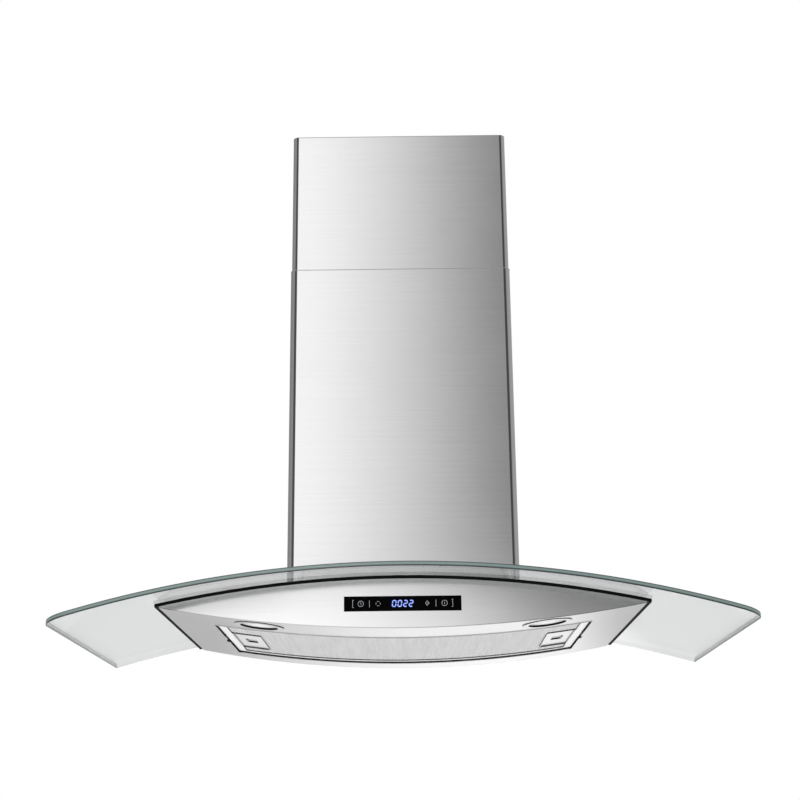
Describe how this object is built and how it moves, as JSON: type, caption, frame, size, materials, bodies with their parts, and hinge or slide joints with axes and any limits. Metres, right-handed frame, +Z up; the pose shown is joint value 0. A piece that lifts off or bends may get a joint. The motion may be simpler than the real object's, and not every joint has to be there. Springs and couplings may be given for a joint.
{
  "type": "wall mount range hood",
  "caption": "Wall mount range hood: arched clear glass canopy over a lens-shaped brushed steel body with touch strip, lamps and mesh filter, under a telescopic chimney.",
  "frame": {"origin": "centre of the body's back face on the wall, at the level of the body's side tips", "axes": "+X to the right as one faces the hood, +Y into the wall, +Z up"},
  "size_m": [0.9, 0.5, 0.7715],
  "materials": {
    "glass": "clear polished",
    "seal_rubber": "matte black",
    "brushed_steel": "brushed",
    "galvanised_steel": "zinc coated",
    "screw_steel": "bright",
    "white_nylon": "satin",
    "black_plastic": "satin",
    "charcoal": "granular",
    "motor_aluminium": "cast satin",
    "filter_aluminium": "satin",
    "lamp_chrome": "polished",
    "lamp_lens": "frosted",
    "touch_glass": "gloss black",
    "circuit_board": "lacquered",
    "display": "blue digits"
  },
  "bodies": {
    "hood": {"glass_canopy": "glass", "glass_seal": "seal_rubber", "front_fascia": "brushed_steel", "bottom_pan": "brushed_steel", "chimney_lower": "brushed_steel", "top_deck": "galvanised_steel", "back_panel": "galvanised_steel", "motor_box": "galvanised_steel", "blower_wrapper": "galvanised_steel", "blower_side_left": "galvanised_steel", "blower_side_right": "galvanised_steel", "chimney_clip_left": "galvanised_steel", "chimney_clip_right": "galvanised_steel", "junction_box": "galvanised_steel", "junction_cover": "galvanised_steel", "capacitor_clip": "galvanised_steel", "glass_screws": "screw_steel", "chimney_clip_screws": "screw_steel", "collar_screws": "screw_steel", "damper_pin_front": "screw_steel", "damper_pin_rear": "screw_steel", "glass_washers": "white_nylon", "control_housing": "white_nylon", "run_capacitor": "white_nylon", "led_driver": "white_nylon", "duct_collar": "black_plastic", "inlet_grille_left": "black_plastic", "inlet_grille_right": "black_plastic", "cable_gland": "black_plastic", "motor_can": "motor_aluminium", "motor_end_cap": "motor_aluminium", "lamp_can_left": "motor_aluminium", "lamp_can_right": "motor_aluminium", "lamp_bezel_left": "lamp_chrome", "lamp_bezel_right": "lamp_chrome", "lamp_lens_left": "lamp_lens", "lamp_lens_right": "lamp_lens", "touch_panel": "touch_glass", "control_board": "circuit_board", "display_module": "display"},
    "upper_chimney": {"chimney_upper": "brushed_steel", "upper_bracket": "galvanised_steel", "upper_bracket_screws": "screw_steel"},
    "grease_filter": {"filter_frame": "filter_aluminium", "filter_mesh": "filter_aluminium", "latch_plate_left": "brushed_steel", "latch_plate_right": "brushed_steel", "latch_spring_left": "galvanised_steel", "latch_spring_right": "galvanised_steel"},
    "latch_left": {"latch_slider_left": "galvanised_steel"},
    "latch_right": {"latch_slider_right": "galvanised_steel"},
    "rotor": {"motor_shaft": "screw_steel", "impeller": "black_plastic", "shaft_nut": "screw_steel"},
    "flap_front": {"damper_flap_front": "black_plastic"},
    "flap_rear": {"damper_flap_rear": "black_plastic"},
    "carbon_left": {"carbon_case_left": "black_plastic", "carbon_media_left": "charcoal"},
    "carbon_right": {"carbon_case_right": "black_plastic", "carbon_media_right": "charcoal"}
  },
  "joints": [
    {"name": "chimney_slide", "type": "slide", "parent": "hood", "child": "upper_chimney", "axis": [0, 0, 1], "range_m": [-0.18, 0.17]},
    {"name": "filter_drop", "type": "slide", "parent": "hood", "child": "grease_filter", "axis": [0, 0, -1], "range_m": [0, 0.15]},
    {"name": "latch_left_slide", "type": "slide", "parent": "grease_filter", "child": "latch_left", "axis": [0.9907, 0, -0.136], "range_m": [0, 0.005], "stiffness_N_per_m": 400, "springref_m": -0.003, "deforming": ["latch_spring_left"]},
    {"name": "latch_right_slide", "type": "slide", "parent": "grease_filter", "child": "latch_right", "axis": [-0.9907, 0, -0.136], "range_m": [0, 0.005], "stiffness_N_per_m": 400, "springref_m": -0.003, "deforming": ["latch_spring_right"]},
    {"name": "rotor_spin", "type": "hinge", "parent": "hood", "child": "rotor", "pos_m": [0, -0.089, 0.1398], "axis": [1, 0, 0], "continuous": true},
    {"name": "flap_front_swing", "type": "hinge", "parent": "hood", "child": "flap_front", "pos_m": [0, -0.147, 0.316], "axis": [-1, 0, 0], "range_deg": [0, 80]},
    {"name": "flap_rear_swing", "type": "hinge", "parent": "hood", "child": "flap_rear", "pos_m": [0, -0.133, 0.316], "axis": [1, 0, 0], "range_deg": [0, 80]},
    {"name": "carbon_left_twist", "type": "hinge", "parent": "hood", "child": "carbon_left", "pos_m": [-0.094, -0.089, 0.1398], "axis": [-1, 0, 0], "range_deg": [0, 30]},
    {"name": "carbon_right_twist", "type": "hinge", "parent": "hood", "child": "carbon_right", "pos_m": [0.094, -0.089, 0.1398], "axis": [1, 0, 0], "range_deg": [0, 30]}
  ]
}
